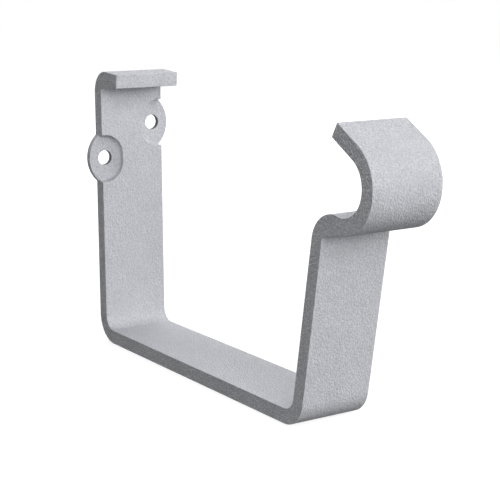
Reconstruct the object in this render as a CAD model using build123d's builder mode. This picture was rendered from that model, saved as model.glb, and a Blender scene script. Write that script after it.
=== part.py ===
from build123d import *
import os
from math import atan2, cos, degrees, radians, sin, sqrt, tan

# Gutter bracket for a box gutter on a fascia board, one piece of metal.
# A back leg is screwed to the fascia, a level seat carries the gutter, and a leaning front leg
# ends in an open hook that holds the gutter's front bead. A short lip at the top of the back leg
# keeps the gutter's rear edge down. Two screw pads are pressed out of the back leg's edges.
#
# Axes: +X away from the fascia, +Y along it, +Z up. Lengths are in millimetres, angles in degrees.
# The origin lies on the fascia face, midway between the two screw holes.

# Strap
strap_width = 25.0
strap_thickness = 5.0
bend_inside = 5.0

# Back leg and its lip
seat_below_screws = 70.0
back_above_seat = 96.0
crown_radius = 8.0
lip_reach = 17.4
lip_fall = 5.0
lip_tip = 4.85
lip_root = 6.4

# Seat and front leg
seat_width = 121.2
front_lean = 10.0

# Hook for the bead, and the shoulder and neck that carry it: the hook's round ends above the
# level of its centre, and the neck's underside leaves it just past its lowest point
hook_bore = 18.3
hook_out = 150.0
hook_above_seat = 72.0
hook_end = 60.0
hook_tip = 10.7
shoulder_radius = 10.0
neck_slope = 15.0
neck_start = 94.0

# Screw pads: the lower one on the -Y edge, the upper one on the +Y edge
screw_hole = 5.5
screw_inset = 2.5
screw_rise = 12.0
pad_thickness = 2.2
pad_height = 17.2
pad_depth = 8.5
pad_flat = 2.5
pad_bulge = 3.85
pad_foot = 1.3

# Levels and radii that follow from the sizes above
seat = -seat_below_screws
underside = seat - strap_thickness
top = seat + back_above_seat
bend_outside = bend_inside + strap_thickness
hook_inside = hook_bore / 2
hook_outside = hook_inside + strap_thickness
strap_edge = strap_width / 2
pad_round = min(pad_depth, pad_height / 2) - pad_flat / 2


def polar(centre, radius, angle):
    """The point of a circle at an angle in degrees."""
    return centre + Vector(cos(radians(angle)), sin(radians(angle))) * radius


# Points of the side view, as (distance from the fascia, height)
crown_centre = Vector(crown_radius, top - crown_radius)
crown_end = polar(crown_centre, crown_radius, 90 - lip_fall)
lip_corner = Vector(lip_reach, crown_end.Y - (lip_reach - crown_end.X) * tan(radians(lip_fall)))
lip_under = polar(lip_corner, lip_tip, 270 - lip_fall)
back_bend = Vector(bend_outside, underside + bend_outside)

# The front leg: where its inner face meets the seat, the way up it and the way square out of it
leg_foot = Vector(strap_thickness + seat_width, seat)
up_leg = polar(Vector(0, 0), 1, 90 - front_lean)
off_leg = polar(Vector(0, 0), 1, -front_lean)
bend_back = bend_inside / cos(radians(front_lean)) - bend_inside * tan(radians(front_lean))
front_bend = Vector(leg_foot.X - bend_back, seat + bend_inside)

# The shoulder's arc touches the front leg's inner face and the hook's bore
hook_centre = Vector(hook_out, seat + hook_above_seat)
shoulder_foot = leg_foot + off_leg * shoulder_radius
reach = hook_centre - shoulder_foot
climb = reach.dot(up_leg) - sqrt((shoulder_radius + hook_inside) ** 2 - reach.dot(off_leg) ** 2)
shoulder = shoulder_foot + up_leg * climb
to_hook = hook_centre - shoulder
shoulder_end = degrees(atan2(to_hook.Y, to_hook.X))

# The neck's underside falls from the hook's outer round to the front leg's outer face
neck_end = polar(hook_centre, hook_outside, -neck_start)
down_neck = polar(Vector(0, 0), 1, 180 + neck_slope)
neck_run = (strap_thickness - (neck_end - leg_foot).dot(off_leg)) / down_neck.dot(off_leg)
neck_corner = neck_end + down_neck * neck_run

# The punch that presses a screw pad thin, with its flat nose at the origin
with BuildPart() as punch:
    with BuildSketch(Plane.YZ):
        RectangleRounded(2 * pad_depth, pad_height, pad_round)
    extrude(amount=strap_thickness)
    fillet(punch.faces().sort_by(Axis.X)[0].edges(), pad_foot)

with BuildPart() as bracket:
    # Side view of the strap, from the back face over the lip, round to the hook and back
    with BuildSketch(Plane.XZ):
        with BuildLine():
            Line((0, back_bend.Y), (0, crown_centre.Y))
            crown = CenterArc(crown_centre, crown_radius, 180, -90 - lip_fall)
            Polyline(
                crown @ 1,
                lip_corner,
                lip_under,
                (strap_thickness, top - lip_root),
                (strap_thickness, back_bend.Y),
            )
            CenterArc(back_bend, bend_inside, 180, 90)
            Line((back_bend.X, seat), (front_bend.X, seat))
            inner_bend = CenterArc(front_bend, bend_inside, 270, 90 - front_lean)
            Line(inner_bend @ 1, polar(shoulder, shoulder_radius, 180 - front_lean))
            CenterArc(shoulder, shoulder_radius, 180 - front_lean, shoulder_end - 180 + front_lean)
            bore = CenterArc(hook_centre, hook_inside, shoulder_end - 180, hook_end + 180 - shoulder_end)
            tip = PolarLine(bore @ 1, hook_tip, hook_end + 90)
            tip_end = PolarLine(tip @ 1, strap_thickness, hook_end)
            Line(tip_end @ 1, polar(hook_centre, hook_outside, hook_end))
            CenterArc(hook_centre, hook_outside, hook_end, -hook_end - neck_start)
            outer_bend = CenterArc(front_bend, bend_outside, -front_lean, front_lean - 90)
            Polyline(neck_end, neck_corner, outer_bend @ 0)
            Line(outer_bend @ 1, (back_bend.X, underside))
            CenterArc(back_bend, bend_outside, 270, -90)
        make_face()
    extrude(amount=strap_edge, both=True)

    # Each pad bulges past its edge of the strap, is pressed thin from the front and takes a screw
    for side in (-1, 1):
        edge = side * strap_edge
        level = side * screw_rise / 2
        low = level - pad_height / 2
        high = level + pad_height / 2
        with BuildSketch(Plane.YZ):
            with BuildLine():
                ThreePointArc((edge, low), (edge + side * pad_bulge, level), (edge, high))
                Polyline((edge, high), (0, high), (0, low), (edge, low))
            make_face()
        extrude(amount=pad_thickness)
        with Locations((pad_thickness, edge, level)):
            add(punch.part, mode=Mode.SUBTRACT)
        with BuildSketch(Plane.YZ):
            with Locations((edge - side * screw_inset, level)):
                Circle(screw_hole / 2)
        extrude(amount=strap_thickness, mode=Mode.SUBTRACT)

bracket.part.label = "bracket"
os.makedirs("parts", exist_ok=True)
export_step(bracket.part, "parts/bracket.step")

print("overall size", bracket.part.bounding_box().size)
print("volume in cubic millimetres", round(bracket.part.volume, 1))
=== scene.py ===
# %% [markdown]
# A gutter bracket in matt aluminium.
# The real object is one piece of metal that carries a box gutter on the board under a roof's edge.
# The measured model is loaded first and is the frame for everything here: metres, +X away from the
# board, +Y along the gutter, +Z up. The bracket is then modelled again with finer curves and softly
# broken edges, given its finish, and set before a camera in a white studio.

from math import asin, atan2, ceil, cos, degrees, pi, radians, sin, sqrt, tan

import bmesh
import bpy
from mathutils import Matrix, Vector


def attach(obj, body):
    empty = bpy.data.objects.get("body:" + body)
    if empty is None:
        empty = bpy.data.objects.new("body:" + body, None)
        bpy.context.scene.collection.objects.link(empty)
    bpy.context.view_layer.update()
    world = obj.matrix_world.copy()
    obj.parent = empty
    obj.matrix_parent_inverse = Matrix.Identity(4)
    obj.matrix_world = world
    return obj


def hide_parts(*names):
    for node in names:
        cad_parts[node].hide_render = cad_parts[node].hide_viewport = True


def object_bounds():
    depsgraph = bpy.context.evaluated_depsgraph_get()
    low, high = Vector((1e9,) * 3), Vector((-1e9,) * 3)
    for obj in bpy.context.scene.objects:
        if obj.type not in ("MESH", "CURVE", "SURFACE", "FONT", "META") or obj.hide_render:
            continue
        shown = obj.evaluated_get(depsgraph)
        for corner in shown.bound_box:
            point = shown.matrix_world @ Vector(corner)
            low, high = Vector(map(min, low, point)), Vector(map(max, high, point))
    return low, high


MM = 0.001

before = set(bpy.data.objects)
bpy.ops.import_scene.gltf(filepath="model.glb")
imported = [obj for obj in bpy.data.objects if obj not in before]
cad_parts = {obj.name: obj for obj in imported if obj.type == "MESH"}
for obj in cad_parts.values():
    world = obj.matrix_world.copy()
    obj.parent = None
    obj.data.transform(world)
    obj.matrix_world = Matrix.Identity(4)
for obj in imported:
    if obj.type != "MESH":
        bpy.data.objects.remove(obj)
measured_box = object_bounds()
bpy.ops.object.select_all(action="DESELECT")
measured_size = [round(length / MM, 2) for length in measured_box[1] - measured_box[0]]
print("nodes", sorted(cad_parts), "size in mm", measured_size)

# %% [markdown]
# The bracket's sizes.
# A bracket like this is drawn from the side: back leg, lip, seat, front leg and hook are one outline,
# and the strap's width is the same all along. The sizes are the ones that a maker would give on a
# drawing, in millimetres and degrees. They could be read off the measured mesh instead, but then a
# curve could be no finer than that mesh.

# %% Sizes of the strap and the back leg
strap_width = 25.0
strap_thickness = 5.0
bend_inside = 5.0
seat = -70.0
top = 26.0
crown_radius = 8.0
lip_reach = 17.4
lip_fall = 5.0
lip_tip = 4.85
lip_root = 6.4

bend_outside = bend_inside + strap_thickness
strap_edge = strap_width / 2
back_height = top - seat + strap_thickness
print("strap", strap_width, "by", strap_thickness, "mm, back leg", back_height, "mm high")

# %% Sizes of the front leg and the hook
seat_width = 121.2
front_lean = 10.0
hook_inside = 9.15
hook_centre = Vector((150.0, 2.0))
hook_end = 60.0
hook_tip = 10.7
shoulder_radius = 10.0
neck_slope = 15.0
neck_start = 94.0

hook_outside = hook_inside + strap_thickness
print("seat", seat_width, "mm wide, hook for a bead of", 2 * hook_inside, "mm")

# %% [markdown]
# Where one curve hands over to the next.
# The lip leaves the crown at its own slope, the front leg leans, and the shoulder's arc has to touch
# both the leg and the hook's bore. These points could be set by eye, but a join that is a little off
# shows as a kink in the light. Worked out from the sizes, every join is smooth.

# %% The crown, the lip and the back bend


def toward(angle):
    """The direction of an angle in degrees, in the side view."""
    return Vector((cos(radians(angle)), sin(radians(angle))))


def polar(centre, radius, angle):
    """The point of a circle at an angle in degrees, in the side view."""
    return centre + toward(angle) * radius


crown = Vector((crown_radius, top - crown_radius))
crown_end = polar(crown, crown_radius, 90 - lip_fall)
lip_corner = Vector((lip_reach, crown_end.y - (lip_reach - crown_end.x) * tan(radians(lip_fall))))
lip_under = polar(lip_corner, lip_tip, 270 - lip_fall)
lip_corner_inside = Vector((strap_thickness, top - lip_root))
back_bend = Vector((bend_outside, seat + bend_inside))
print("crown at", crown, "lip corner at", lip_corner)

# %% The front leg, the shoulder and the neck
up_leg = toward(90 - front_lean)
off_leg = toward(-front_lean)
leg_foot = Vector((strap_thickness + seat_width, seat))
bend_back = bend_inside / cos(radians(front_lean)) - bend_inside * tan(radians(front_lean))
front_bend = Vector((leg_foot.x - bend_back, seat + bend_inside))

shoulder_foot = leg_foot + off_leg * shoulder_radius
reach = hook_centre - shoulder_foot
climb = reach.dot(up_leg) - sqrt((shoulder_radius + hook_inside) ** 2 - reach.dot(off_leg) ** 2)
shoulder = shoulder_foot + up_leg * climb
shoulder_end = degrees(atan2(hook_centre.y - shoulder.y, hook_centre.x - shoulder.x))

neck_end = polar(hook_centre, hook_outside, -neck_start)
down_neck = toward(180 + neck_slope)
neck_run = (strap_thickness - (neck_end - leg_foot).dot(off_leg)) / down_neck.dot(off_leg)
neck_corner = neck_end + down_neck * neck_run
print("shoulder at", shoulder, "neck corner at", neck_corner)

# %% [markdown]
# A pen that draws outlines.
# An outline of straight runs and round bends could be a curve object, but a curve's bends are only
# nearly round. Extruding one vertex along the runs and spinning it round each bend's centre gives
# true arcs with steps of an even angle, as a bend made round a former has. The pen is a small
# plane merged to a single vertex.

# %% The pen
bend_step = 3.0


def pick_all():
    bpy.ops.mesh.select_all(action="SELECT")


def pen_down(name, point):
    """Starts an outline at a point and leaves it in edit mode."""
    bpy.ops.object.select_all(action="DESELECT")
    bpy.ops.mesh.primitive_plane_add(size=MM, location=(0, 0, 0))
    bpy.context.object.name = name
    bpy.ops.object.mode_set(mode="EDIT")
    bpy.ops.mesh.select_mode(type="VERT")
    pick_all()
    bpy.ops.mesh.merge(type="CENTER")
    bpy.ops.transform.translate(value=point)
    return {"object": bpy.context.object, "at": Vector(point)}


def line_to(pen, point):
    """Extrudes the pen's vertex in a straight run."""
    move = Vector(point) - pen["at"]
    bpy.ops.mesh.extrude_vertices_move(TRANSFORM_OT_translate={"value": move})
    pen["at"] = Vector(point)


def arc_round(pen, centre, axis, turn):
    """Spins the pen's vertex round a centre by a turn in degrees."""
    steps = ceil(abs(turn) / bend_step)
    bpy.ops.mesh.spin(steps=steps, angle=-radians(turn), center=centre, axis=axis)
    pen["at"] = Matrix.Rotation(radians(turn), 3, axis) @ (pen["at"] - Vector(centre)) + Vector(centre)


print("the pen turns bends in steps of", bend_step, "degrees")

# %% Closing an outline, and measuring what came of it
touching = 1e-6


def close_and_thicken(pen, move):
    """Joins the outline's ends, fills it and extrudes it to a solid."""
    pick_all()
    bpy.ops.mesh.remove_doubles(threshold=touching)
    bpy.ops.mesh.edge_face_add()
    bpy.ops.mesh.extrude_region_move(TRANSFORM_OT_translate={"value": move})
    pick_all()
    bpy.ops.mesh.normals_make_consistent(inside=False)
    bpy.ops.object.mode_set(mode="OBJECT")


def volume_of(piece):
    """Volume in cubic millimetres, and how many edges are open."""
    form = bmesh.new()
    form.from_mesh(piece.data)
    found = form.calc_volume() / MM**3
    loose = sum(1 for edge in form.edges if not edge.is_manifold)
    form.free()
    return round(found, 1), loose


print("ends nearer than", touching, "metres are joined")

# %% [markdown]
# The strap.
# The outline starts behind the back leg and runs over the crown, round the lip, down to the seat, up
# the front leg, over the shoulder and round the hook, and back underneath. The hook is held by a
# neck that is thicker than the strap, so a flat strip could not simply be bent to this shape in
# the model, and one closed outline that is filled and extruded to the strap's width is right.

# %% Draw the inside of the side view, from the back leg to the hook's tip


def in_side_view(point):
    """A point of the side view, on the near side of the strap, in metres."""
    return Vector((point.x, -strap_edge, point.y)) * MM


def bend(pen, centre, turn):
    """A bend seen from the near side, counter-clockwise if the turn is positive."""
    arc_round(pen, in_side_view(centre), (0, -1, 0), turn)


side = pen_down("bracket_strap", in_side_view(Vector((0, back_bend.y))))
line_to(side, in_side_view(Vector((0, crown.y))))
bend(side, crown, -90 - lip_fall)
for corner in (lip_corner, lip_under, lip_corner_inside, Vector((strap_thickness, back_bend.y))):
    line_to(side, in_side_view(corner))
bend(side, back_bend, 90)
line_to(side, in_side_view(Vector((front_bend.x, seat))))
bend(side, front_bend, 90 - front_lean)
line_to(side, in_side_view(polar(shoulder, shoulder_radius, 180 - front_lean)))
bend(side, shoulder, shoulder_end - 180 + front_lean)
bend(side, hook_centre, hook_end + 180 - shoulder_end)
tip_inside = polar(hook_centre, hook_inside, hook_end) + toward(hook_end + 90) * hook_tip
line_to(side, in_side_view(tip_inside))
print("the pen is at the hook's tip", side["at"] / MM)

# %% Draw the way back underneath, and give the outline its width
line_to(side, in_side_view(polar(tip_inside, strap_thickness, hook_end)))
line_to(side, in_side_view(polar(hook_centre, hook_outside, hook_end)))
bend(side, hook_centre, -hook_end - neck_start)
line_to(side, in_side_view(neck_corner))
line_to(side, in_side_view(polar(front_bend, bend_outside, -front_lean)))
bend(side, front_bend, front_lean - 90)
line_to(side, in_side_view(Vector((back_bend.x, seat - strap_thickness))))
bend(side, back_bend, -90)
close_and_thicken(side, (0, strap_width * MM, 0))
bracket = side["object"]
print("strap: volume and open edges", volume_of(bracket), "vertices", len(bracket.data.vertices))

# %% [markdown]
# The screw pads.
# Near the top of the back leg two pads are pressed thin for the screws, one at each edge, and the
# metal has been driven out past the edge in a round ear. The same happens here: an ear is joined to
# the strap, and a punch with rounded corners and a rounded nose takes the metal down to the pad's
# floor. Booleans suit this, because each tool's own shape stays simple, while shaping the flat leg
# by hand would need its grid to follow two round outlines.

# %% Sizes of the pads, and how a tool is used
screw_rise = 12.0
pad_thickness = 2.2
pad_height = 17.2
pad_depth = 8.5
pad_round = 7.25
pad_bulge = 3.85
pad_foot = 1.3


def combine(piece, tool, operation):
    """Joins a tool to the piece or cuts it out, and puts the tool away."""
    change = piece.modifiers.new(operation.title(), "BOOLEAN")
    change.operation = operation
    change.solver = "EXACT"
    change.object = tool
    bpy.context.view_layer.objects.active = piece
    bpy.ops.object.modifier_apply(modifier=change.name)
    bpy.data.objects.remove(tool, do_unlink=True)
    print(operation.lower(), "gives volume and open edges", volume_of(piece))


print("pads", pad_height, "mm high and", pad_thickness, "mm thick,", screw_rise, "mm apart in height")

# %% The ear
ear_root = 3.0
ear_radius = ((pad_height / 2) ** 2 + pad_bulge**2) / (2 * pad_bulge)
ear_turn = 2 * degrees(asin(pad_height / 2 / ear_radius))


def make_ear(edge, level):
    """The round ear, from the strap's inside out past its edge."""
    out = 1 if edge > 0 else -1
    low = Vector((0, edge, level - pad_height / 2)) * MM
    high = Vector((0, edge, level + pad_height / 2)) * MM
    inward = Vector((0, -ear_root * out, 0)) * MM
    ear = pen_down("ear", low)
    centre = Vector((0, edge + out * (pad_bulge - ear_radius), level)) * MM
    arc_round(ear, centre, (out, 0, 0), ear_turn)
    line_to(ear, high + inward)
    line_to(ear, low + inward)
    close_and_thicken(ear, (pad_thickness * MM, 0, 0))
    return ear["object"]


print("ear radius", round(ear_radius, 2), "mm over", round(ear_turn, 1), "degrees")

# %% The punch
punch_length = 6.0
corner_steps = 30
nose_steps = 8
hair = 0.01


def pick_edges(piece, wanted):
    """Selects the edges of a mesh in edit mode that pass a test."""
    form = bmesh.from_edit_mesh(piece.data)
    for edge in form.edges:
        edge.select_set(False)
    for edge in form.edges:
        if wanted(edge):
            edge.select_set(True)
    bmesh.update_edit_mesh(piece.data)


def round_picked(radius, steps):
    """Rounds the picked edges by a radius in millimetres."""
    bpy.ops.mesh.bevel(offset=radius * MM, segments=steps, affect="EDGES", clamp_overlap=False)


def runs_out(edge):
    """Whether an edge runs away from the board, along the punch."""
    return abs((edge.verts[0].co - edge.verts[1].co).x) > MM


def on_nose(edge):
    """Whether an edge lies on the punch's flat end, at the pad's floor."""
    return max(end.co.x for end in edge.verts) < (pad_thickness + hair) * MM


def make_punch(edge, level):
    """A block on the pad's floor with round corners and a rounded nose."""
    middle = Vector((pad_thickness + punch_length / 2, edge, level)) * MM
    bpy.ops.object.select_all(action="DESELECT")
    bpy.ops.mesh.primitive_cube_add(size=MM, location=middle)
    punch = bpy.context.object
    bpy.ops.object.transform_apply(location=True, rotation=False, scale=False)
    bpy.ops.object.mode_set(mode="EDIT")
    bpy.ops.mesh.select_mode(type="EDGE")
    pick_all()
    size = (punch_length, 2 * pad_depth, pad_height)
    bpy.ops.transform.resize(value=size, center_override=middle)
    pick_edges(punch, runs_out)
    round_picked(pad_round, corner_steps)
    pick_edges(punch, on_nose)
    round_picked(pad_foot, nose_steps)
    bpy.ops.object.mode_set(mode="OBJECT")
    return punch


print("punch corners", pad_round, "mm round, nose", pad_foot, "mm round")

# %% Press both pads
for out in (-1, 1):
    pad_place = (out * strap_edge, out * screw_rise / 2)
    combine(bracket, make_ear(*pad_place), "UNION")
    combine(bracket, make_punch(*pad_place), "DIFFERENCE")

# %% [markdown]
# Broken edges.
# No real edge is perfectly sharp: tumbling and handling round it by a tenth of a millimetre or so,
# and that round is what catches the light. Flat faces that the cuts left in pieces are dissolved
# back into one first, so that nothing leads the rounds astray. Only outer edges wear, and they are
# picked by the turn between their two faces, so the bends' even steps stay as they are. Where a
# pad's foot runs out to nothing at the strap's edge there is no room for a round, and none is made.

# %% Which edges are broken
least_turn = radians(28)
foot_room = 0.4


def at_pad_foot(point):
    """Whether a point is on the strap's edge where the foot of a pad's wall is still low."""
    out = 1 if point.y > 0 else -1
    above_floor = point.x / MM - pad_thickness
    on_edge = abs(point.y / MM - out * strap_edge) < hair
    beside_pad = abs(point.z / MM - out * screw_rise / 2) < pad_height / 2 + hair
    return on_edge and beside_pad and -hair < above_floor < foot_room


def is_outer(edge):
    """Whether an edge is an outer corner with room for a round."""
    if edge.calc_face_angle_signed() < least_turn:
        return False
    return not all(at_pad_foot(end.co) for end in edge.verts)


print("edges that turn outwards by", round(degrees(least_turn)), "degrees or more are broken")

# %% Clean the faces and break the outer edges
edge_round = 0.16
edge_steps = 3
nearly_touching = 2e-6
nearly_flat = radians(0.2)

bpy.ops.object.select_all(action="DESELECT")
bracket.select_set(True)
bpy.context.view_layer.objects.active = bracket
bpy.ops.object.mode_set(mode="EDIT")
bpy.ops.mesh.select_mode(type="EDGE")
pick_all()
bpy.ops.mesh.remove_doubles(threshold=nearly_touching)
bpy.ops.mesh.dissolve_limited(angle_limit=nearly_flat)
bpy.ops.mesh.normals_make_consistent(inside=False)
pick_edges(bracket, is_outer)
round_picked(edge_round, edge_steps)
bpy.ops.object.mode_set(mode="OBJECT")
print("edges broken: volume and open edges", volume_of(bracket), "faces", len(bracket.data.polygons))

# %% [markdown]
# The screw holes.
# They are drilled last, with a drill that flares a little where it enters and leaves, so a hole's
# own edges come out broken too. The drill is turned like work on a lathe: its half outline is drawn
# with the pen and spun once round. Drilled earlier, the holes would have cut the flat faces into
# pieces just where the rounds of the ears need room.

# %% Drill the screw holes
screw_radius = 2.75
screw_inset = 2.5
drill_past = 1.0
drill_steps = 96


def make_drill(edge, level):
    """A round bar through the pad at the screw's place, flared at both of the pad's faces."""
    inset = screw_inset if edge > 0 else -screw_inset
    middle = Vector((0, edge - inset, level))
    wide = screw_radius + edge_round + drill_past
    drill = pen_down("drill", (middle + Vector((-drill_past, 0, 0))) * MM)
    for along, out in (
        (-drill_past, wide),
        (edge_round, screw_radius),
        (pad_thickness - edge_round, screw_radius),
        (pad_thickness + drill_past, wide),
        (pad_thickness + drill_past, 0),
    ):
        line_to(drill, (middle + Vector((along, out, 0))) * MM)
    pick_all()
    bpy.ops.mesh.spin(steps=drill_steps, angle=2 * pi, center=middle * MM, axis=(1, 0, 0))
    pick_all()
    bpy.ops.mesh.remove_doubles(threshold=touching)
    bpy.ops.mesh.normals_make_consistent(inside=False)
    bpy.ops.object.mode_set(mode="OBJECT")
    return drill["object"]


for out in (-1, 1):
    combine(bracket, make_drill(out * strap_edge, out * screw_rise / 2), "DIFFERENCE")

# %% [markdown]
# Smooth shading.
# Bends, rounds and the holes' walls are shaded smooth, and inner corners stay sharp. Large flat
# faces count for more than the narrow rounds beside them, so they keep their flat look to the end.

# %% Shade the bends and rounds
inner_corner = radians(40)

bpy.ops.object.select_all(action="DESELECT")
bracket.select_set(True)
bpy.context.view_layer.objects.active = bracket
bpy.ops.object.shade_smooth_by_angle(angle=inner_corner)
weigh = bracket.modifiers.new("Weigh", "WEIGHTED_NORMAL")
weigh.keep_sharp = True
bpy.ops.object.modifier_apply(modifier=weigh.name)
print("shaded: volume and open edges", volume_of(bracket), "faces", len(bracket.data.polygons))

# %% [markdown]
# Cut sides, and painted shade in the holes.
# The strap's flat faces were rolled, its sides were cut and its holes were drilled. The flat faces and
# the cut sides took the grain in their own ways: the sides are coarser. The holes' walls get painted
# shade, a darker colour standing in for the shade inside a hole. Three materials could show that, but
# the grain would then stop dead at every edge. A number that is kept on each face is lighter to carry,
# and the one material reads it.

# %% Mark the cut sides, and the holes' walls for painted shade
square_to_side = 0.98
along_drill = 0.5
wall_room = 0.02


def in_bore(face):
    """Whether a face is part of a screw hole's wall."""
    out = 1 if face.center.y > 0 else -1
    across = face.center.y / MM - out * (strap_edge - screw_inset)
    above = face.center.z / MM - out * screw_rise / 2
    near = across**2 + above**2 < (screw_radius + wall_room) ** 2
    return near and abs(face.normal.x) < along_drill


def on_side(face):
    """Whether a face lies on one of the strap's two cut sides."""
    return abs(face.normal.y) > square_to_side and not in_bore(face)


def mark_faces(piece, name, wanted):
    """Keeps a 1 on the faces that pass a test, and a 0 on the others."""
    mark = piece.data.attributes.new(name, "FLOAT", "FACE")
    picked = [face.index for face in piece.data.polygons if wanted(face)]
    for index in picked:
        mark.data[index].value = 1.0
    print(name, "on", len(picked), "of", len(piece.data.polygons), "faces")


mark_faces(bracket, "cut_side", on_side)
# The holes' walls are marked for painted shade: a darker colour in place of the shade inside a hole.
mark_faces(bracket, "painted_bore_shade", in_bore)

# %% [markdown]
# The finish.
# The metal is aluminium with a dull, finely grained skin: small pits and flats, about half a
# millimetre across, scatter the light, so the surface looks speckled near by and soft grey from
# further off. An image could be laid over it, but it would need seams and would blur near by. Noise
# and cells at the grains' own size have no seam and stay sharp, so they are used instead.

# %% Helpers for building a material


def add_node(tree, kind, **settings):
    """Adds a shader node and sets the sockets that are named by their labels."""
    node = tree.nodes.new(kind)
    for label, value in settings.items():
        socket = label.replace("_", " ").title()
        if socket in node.inputs:
            node.inputs[socket].default_value = value
        else:
            setattr(node, label, value)
    return node


def ramp_of(tree, source, low, high, low_value, high_value):
    """Turns a range of a grey pattern into a range of values."""
    node = add_node(tree, "ShaderNodeMapRange")
    node.inputs["From Min"].default_value = low
    node.inputs["From Max"].default_value = high
    node.inputs["To Min"].default_value = low_value
    node.inputs["To Max"].default_value = high_value
    tree.links.new(source, node.inputs["Value"])
    return node.outputs["Result"]


metal = bpy.data.materials.new("grained_aluminium")
metal.use_nodes = True
tree = metal.node_tree
skin = tree.nodes["Principled BSDF"]
print("material", metal.name, "starts with", len(tree.nodes), "nodes")

# %% [markdown]
# The patterns of the grain.
# Cells give each grain its own shade, a fine noise breaks their shapes up, and a broad, weak cloud
# keeps large faces from looking even. The pits are a noise of their own with little fine detail,
# because a bump only shows in the light and dark of its slopes if those are as large as the eye can
# part. The sizes are counts for each metre, as the patterns lie on the bracket itself.

# %% The patterns and the marks
grains_per_metre = 2000.0
clouds_per_metre = 120.0
pits_per_metre = 1700.0
noise_low = 0.3
noise_high = 0.7
fine_share = 0.6
cell_share = 0.4

place = add_node(tree, "ShaderNodeTexCoord").outputs["Object"]
fine = add_node(tree, "ShaderNodeTexNoise", scale=grains_per_metre, detail=3.0, roughness=0.6)
cells = add_node(tree, "ShaderNodeTexVoronoi", scale=grains_per_metre, randomness=1.0)
cloud = add_node(tree, "ShaderNodeTexNoise", scale=clouds_per_metre, detail=2.0, roughness=0.5)
pits = add_node(tree, "ShaderNodeTexNoise", scale=pits_per_metre, detail=1.0, roughness=0.5)
for pattern in (fine, cells, cloud, pits):
    tree.links.new(place, pattern.inputs["Vector"])
cut = add_node(tree, "ShaderNodeAttribute", attribute_name="cut_side").outputs["Fac"]
bore_shade_mask = add_node(tree, "ShaderNodeAttribute", attribute_name="painted_bore_shade").outputs["Fac"]

grain = add_node(tree, "ShaderNodeMath", operation="ADD")
fine_part = ramp_of(tree, fine.outputs["Fac"], noise_low, noise_high, 0.0, fine_share)
cell_part = ramp_of(tree, cells.outputs["Color"], 0.0, 1.0, 0.0, cell_share)
tree.links.new(fine_part, grain.inputs[0])
tree.links.new(cell_part, grain.inputs[1])
print("grains are", round(1 / grains_per_metre / MM, 2), "mm across")

# %% [markdown]
# The colour.
# Aluminium is a pale, slightly blue grey. A single grey would look like plastic, so each grain takes
# a shade between a dark and a pale metal. The cut sides have more of both. The holes' walls are painted
# a good deal darker, as painted shade for the inside of a hole that little light reaches.

# %% The colour of the grains
dark_metal = (0.30, 0.306, 0.331, 1)
pale_metal = (0.89, 0.90, 0.945, 1)
face_contrast = 0.54
side_contrast = 0.88
cloud_dark = 0.48
cloud_pale = 0.52
# Painted shade: the holes' walls keep this share of their colour.
painted_shade_in_bores = 0.3

shade = add_node(tree, "ShaderNodeMath", operation="MULTIPLY_ADD")
around_none = ramp_of(tree, grain.outputs[0], 0.0, 1.0, -0.5, 0.5)
contrast = ramp_of(tree, cut, 0.0, 1.0, face_contrast, side_contrast)
base_shade = ramp_of(tree, cloud.outputs["Fac"], noise_low, noise_high, cloud_dark, cloud_pale)
tree.links.new(around_none, shade.inputs[0])
tree.links.new(contrast, shade.inputs[1])
tree.links.new(base_shade, shade.inputs[2])

tint = add_node(tree, "ShaderNodeValToRGB")
tint.color_ramp.elements[0].color = dark_metal
tint.color_ramp.elements[1].color = pale_metal
tree.links.new(shade.outputs[0], tint.inputs["Fac"])
# Painted shade: the colour is darkened on the holes' walls, standing in for the shade inside them.
colour_with_bore_shade = add_node(tree, "ShaderNodeVectorMath", operation="SCALE")
tree.links.new(tint.outputs["Color"], colour_with_bore_shade.inputs["Vector"])
tree.links.new(ramp_of(tree, bore_shade_mask, 0.0, 1.0, 1.0, painted_shade_in_bores), colour_with_bore_shade.inputs["Scale"])
tree.links.new(colour_with_bore_shade.outputs["Vector"], skin.inputs["Base Color"])
print("grain contrast on faces", face_contrast, "and on cut sides", side_contrast)

# %% [markdown]
# Gloss and relief.
# The skin is dull all over, a few grains are bare metal and a little shinier, and the pits are real
# hollows. Moving the mesh itself for hollows this small would take millions of faces, so a bump does
# it. The cut sides are pitted more deeply.

# %% The gloss and the pits
bare_from = 0.75
bare_metal = 0.35
dull_gloss = 0.1
dull_roughness = 0.78
bright_roughness = 0.62
face_pits = 0.34
side_pits = 0.5

bare = ramp_of(tree, cells.outputs["Color"], bare_from, 1.0, 0.0, bare_metal)
tree.links.new(bare, skin.inputs["Metallic"])
skin.inputs["Specular IOR Level"].default_value = dull_gloss
rough = ramp_of(tree, grain.outputs[0], 0.0, 1.0, dull_roughness, bright_roughness)
tree.links.new(rough, skin.inputs["Roughness"])

bump = add_node(tree, "ShaderNodeBump", strength=1.0)
depth = ramp_of(tree, cut, 0.0, 1.0, face_pits * MM, side_pits * MM)
tree.links.new(depth, bump.inputs["Distance"])
tree.links.new(pits.outputs["Fac"], bump.inputs["Height"])
tree.links.new(bump.outputs["Normal"], skin.inputs["Normal"])

bracket.data.materials.clear()
bracket.data.materials.append(metal)
print("material", metal.name, "with", len(tree.nodes), "nodes")

# %% Say what the bracket is
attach(bracket, "root")
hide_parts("bracket")
print(bracket.name, "stands for the measured bracket")

# %% [markdown]
# The studio.
# The picture is a bright catalogue shot on white. The floor is a plain pale sheet under the bracket,
# and it shows white to the camera and to reflections, with the bracket's soft shadow kept. It could
# be made white by more light instead, but then the metal would be washed out.

# %% How a surface shows white without lighting the bracket


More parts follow.
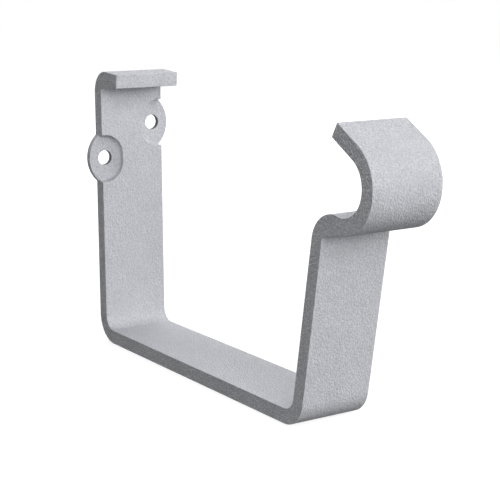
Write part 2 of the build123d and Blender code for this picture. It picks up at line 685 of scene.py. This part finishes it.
def white_for_views(tree, shown, plain, target):
    """Uses one shader for the camera and reflections, and another for the light that bounces."""
    rays = add_node(tree, "ShaderNodeLightPath")
    either = add_node(tree, "ShaderNodeMath", operation="ADD")
    any_view = add_node(tree, "ShaderNodeMath", operation="ADD")
    any_view.use_clamp = True
    tree.links.new(rays.outputs["Is Camera Ray"], either.inputs[0])
    tree.links.new(rays.outputs["Is Glossy Ray"], either.inputs[1])
    tree.links.new(either.outputs[0], any_view.inputs[0])
    tree.links.new(rays.outputs["Is Transmission Ray"], any_view.inputs[1])
    choose = add_node(tree, "ShaderNodeMixShader")
    tree.links.new(any_view.outputs[0], choose.inputs[0])
    tree.links.new(plain, choose.inputs[1])
    tree.links.new(shown, choose.inputs[2])
    tree.links.new(choose.outputs[0], target)


# %% The floor
floor_size = 6.0
floor_gap = 0.2
floor_level = measured_box[0].z - floor_gap * MM
under_bracket = (0.08, 0, floor_level)
bounce_grey = (0.03, 0.03, 0.03, 1)
catch_grey = (0.3, 0.3, 0.3, 1)
white = (1, 1, 1, 1)
near_glow = 0.86
near_ring = 0.1
far_ring = 0.6

bpy.ops.object.select_all(action="DESELECT")
bpy.ops.mesh.primitive_plane_add(size=floor_size, location=under_bracket)
floor = bpy.context.object
floor.name = "studio_floor"

sheet = bpy.data.materials.new("pale_sheet")
sheet.use_nodes = True
tree = sheet.node_tree
tree.nodes.remove(tree.nodes["Principled BSDF"])
matt = add_node(tree, "ShaderNodeBsdfDiffuse", color=bounce_grey)
from_middle = add_node(tree, "ShaderNodeVectorMath", operation="LENGTH")
tree.links.new(add_node(tree, "ShaderNodeTexCoord").outputs["Object"], from_middle.inputs[0])
glow = add_node(tree, "ShaderNodeEmission", color=white)
strength = ramp_of(tree, from_middle.outputs["Value"], near_ring, far_ring, near_glow, 1.0)
tree.links.new(strength, glow.inputs["Strength"])
catch = add_node(tree, "ShaderNodeBsdfDiffuse", color=catch_grey)
lit = add_node(tree, "ShaderNodeAddShader")
tree.links.new(glow.outputs[0], lit.inputs[0])
tree.links.new(catch.outputs[0], lit.inputs[1])
white_for_views(tree, lit.outputs[0], matt.outputs[0], tree.nodes["Material Output"].inputs["Surface"])
floor.data.materials.append(sheet)
print("floor", floor_size, "m wide at", round(floor_level, 4))

# %% The air around
world = bpy.data.worlds.new("studio_air")
bpy.context.scene.world = world
world.use_nodes = True
tree = world.node_tree
air = tree.nodes["Background"]
air.inputs["Color"].default_value = white
air.inputs["Strength"].default_value = 0.0
backdrop = add_node(tree, "ShaderNodeBackground", color=white, strength=1.0)
white_for_views(tree, backdrop.outputs[0], air.outputs[0], tree.nodes["World Output"].inputs["Surface"])
print("the backdrop is white to the camera and gives no light")

# %% [markdown]
# The lamps.
# In the picture the faces towards the hook's side are pale, the near cut side is dark, and the change
# from one to the other is soft. One huge lamp would light the near side too. So the light comes from
# eight soft panels: two in front, three on the far side, one above, one behind, and a small one that
# lifts the near side a little.

# %% Light the studio
lamp_distance = 1.2
middle = (measured_box[0] + measured_box[1]) / 2


def panel(name, round_about, height_angle, width, height, power):
    """A soft light that faces the bracket; the angles are from +X towards +Y, and above level."""
    turn = radians(round_about)
    rise = radians(height_angle)
    away = Vector((cos(turn) * cos(rise), sin(turn) * cos(rise), sin(rise)))
    place = middle + away * lamp_distance
    place.z = max(place.z, floor_level + height / 2)
    bpy.ops.object.select_all(action="DESELECT")
    bpy.ops.object.light_add(type="AREA", location=place)
    lamp = bpy.context.object
    lamp.name = name
    lamp.data.shape = "RECTANGLE"
    lamp.data.size = width
    lamp.data.size_y = height
    lamp.data.energy = power
    lamp.rotation_mode = "QUATERNION"
    lamp.rotation_quaternion = (place - middle).to_track_quat("Z", "Y")
    print(name, "of", power, "watts at", [round(where, 2) for where in place])


panel("front_panel", -20, 25, 0.9, 0.9, 7.3)
panel("low_panel", 0, 12, 0.9, 0.5, 3.1)
panel("side_panel", 50, 18, 0.6, 0.6, 4.6)
panel("far_window", 80, 5, 0.5, 0.25, 5.6)
panel("far_panel", 110, 10, 0.5, 0.5, 4.3)
panel("over_panel", 120, 60, 0.6, 0.6, 3.8)
panel("behind_panel", 165, 45, 0.9, 0.9, 5.5)
panel("near_window", -60, 15, 0.5, 0.3, 2.1)

# %% [markdown]
# The camera.
# It looks over the hook towards the back leg, a little from above, with a longish lens from about
# half a metre. A wide lens from nearby would swell the hook, and a view without perspective would
# lose the depth, so the place and the turn are those that the picture's own vanishing lines give.

# %% Camera
camera_place = Vector((0.44892, -0.23877, 0.05907))
azimuth = radians(56.77)
elevation = radians(11.35)
roll = radians(-0.26)
film_width = 36.0
lens = 97.73
nearest_shown = 0.05
farthest_shown = 20.0

camera_data = bpy.data.cameras.new("camera")
camera = bpy.data.objects.new("camera", camera_data)
bpy.context.collection.objects.link(camera)
bpy.context.scene.camera = camera
camera_data.sensor_width = film_width
camera_data.lens = lens
camera_data.clip_start = nearest_shown
camera_data.clip_end = farthest_shown
back = Vector((sin(azimuth) * cos(elevation), -cos(azimuth) * cos(elevation), sin(elevation)))
level_view = (-back).to_track_quat("-Z", "Y")
camera.location = camera_place
camera.rotation_mode = "QUATERNION"
camera.rotation_quaternion = Matrix.Rotation(roll, 3, back).to_quaternion() @ level_view
print("camera at", camera_place, "lens", camera_data.lens)

# %% Colour of the picture
bpy.context.scene.view_settings.view_transform = "Standard"
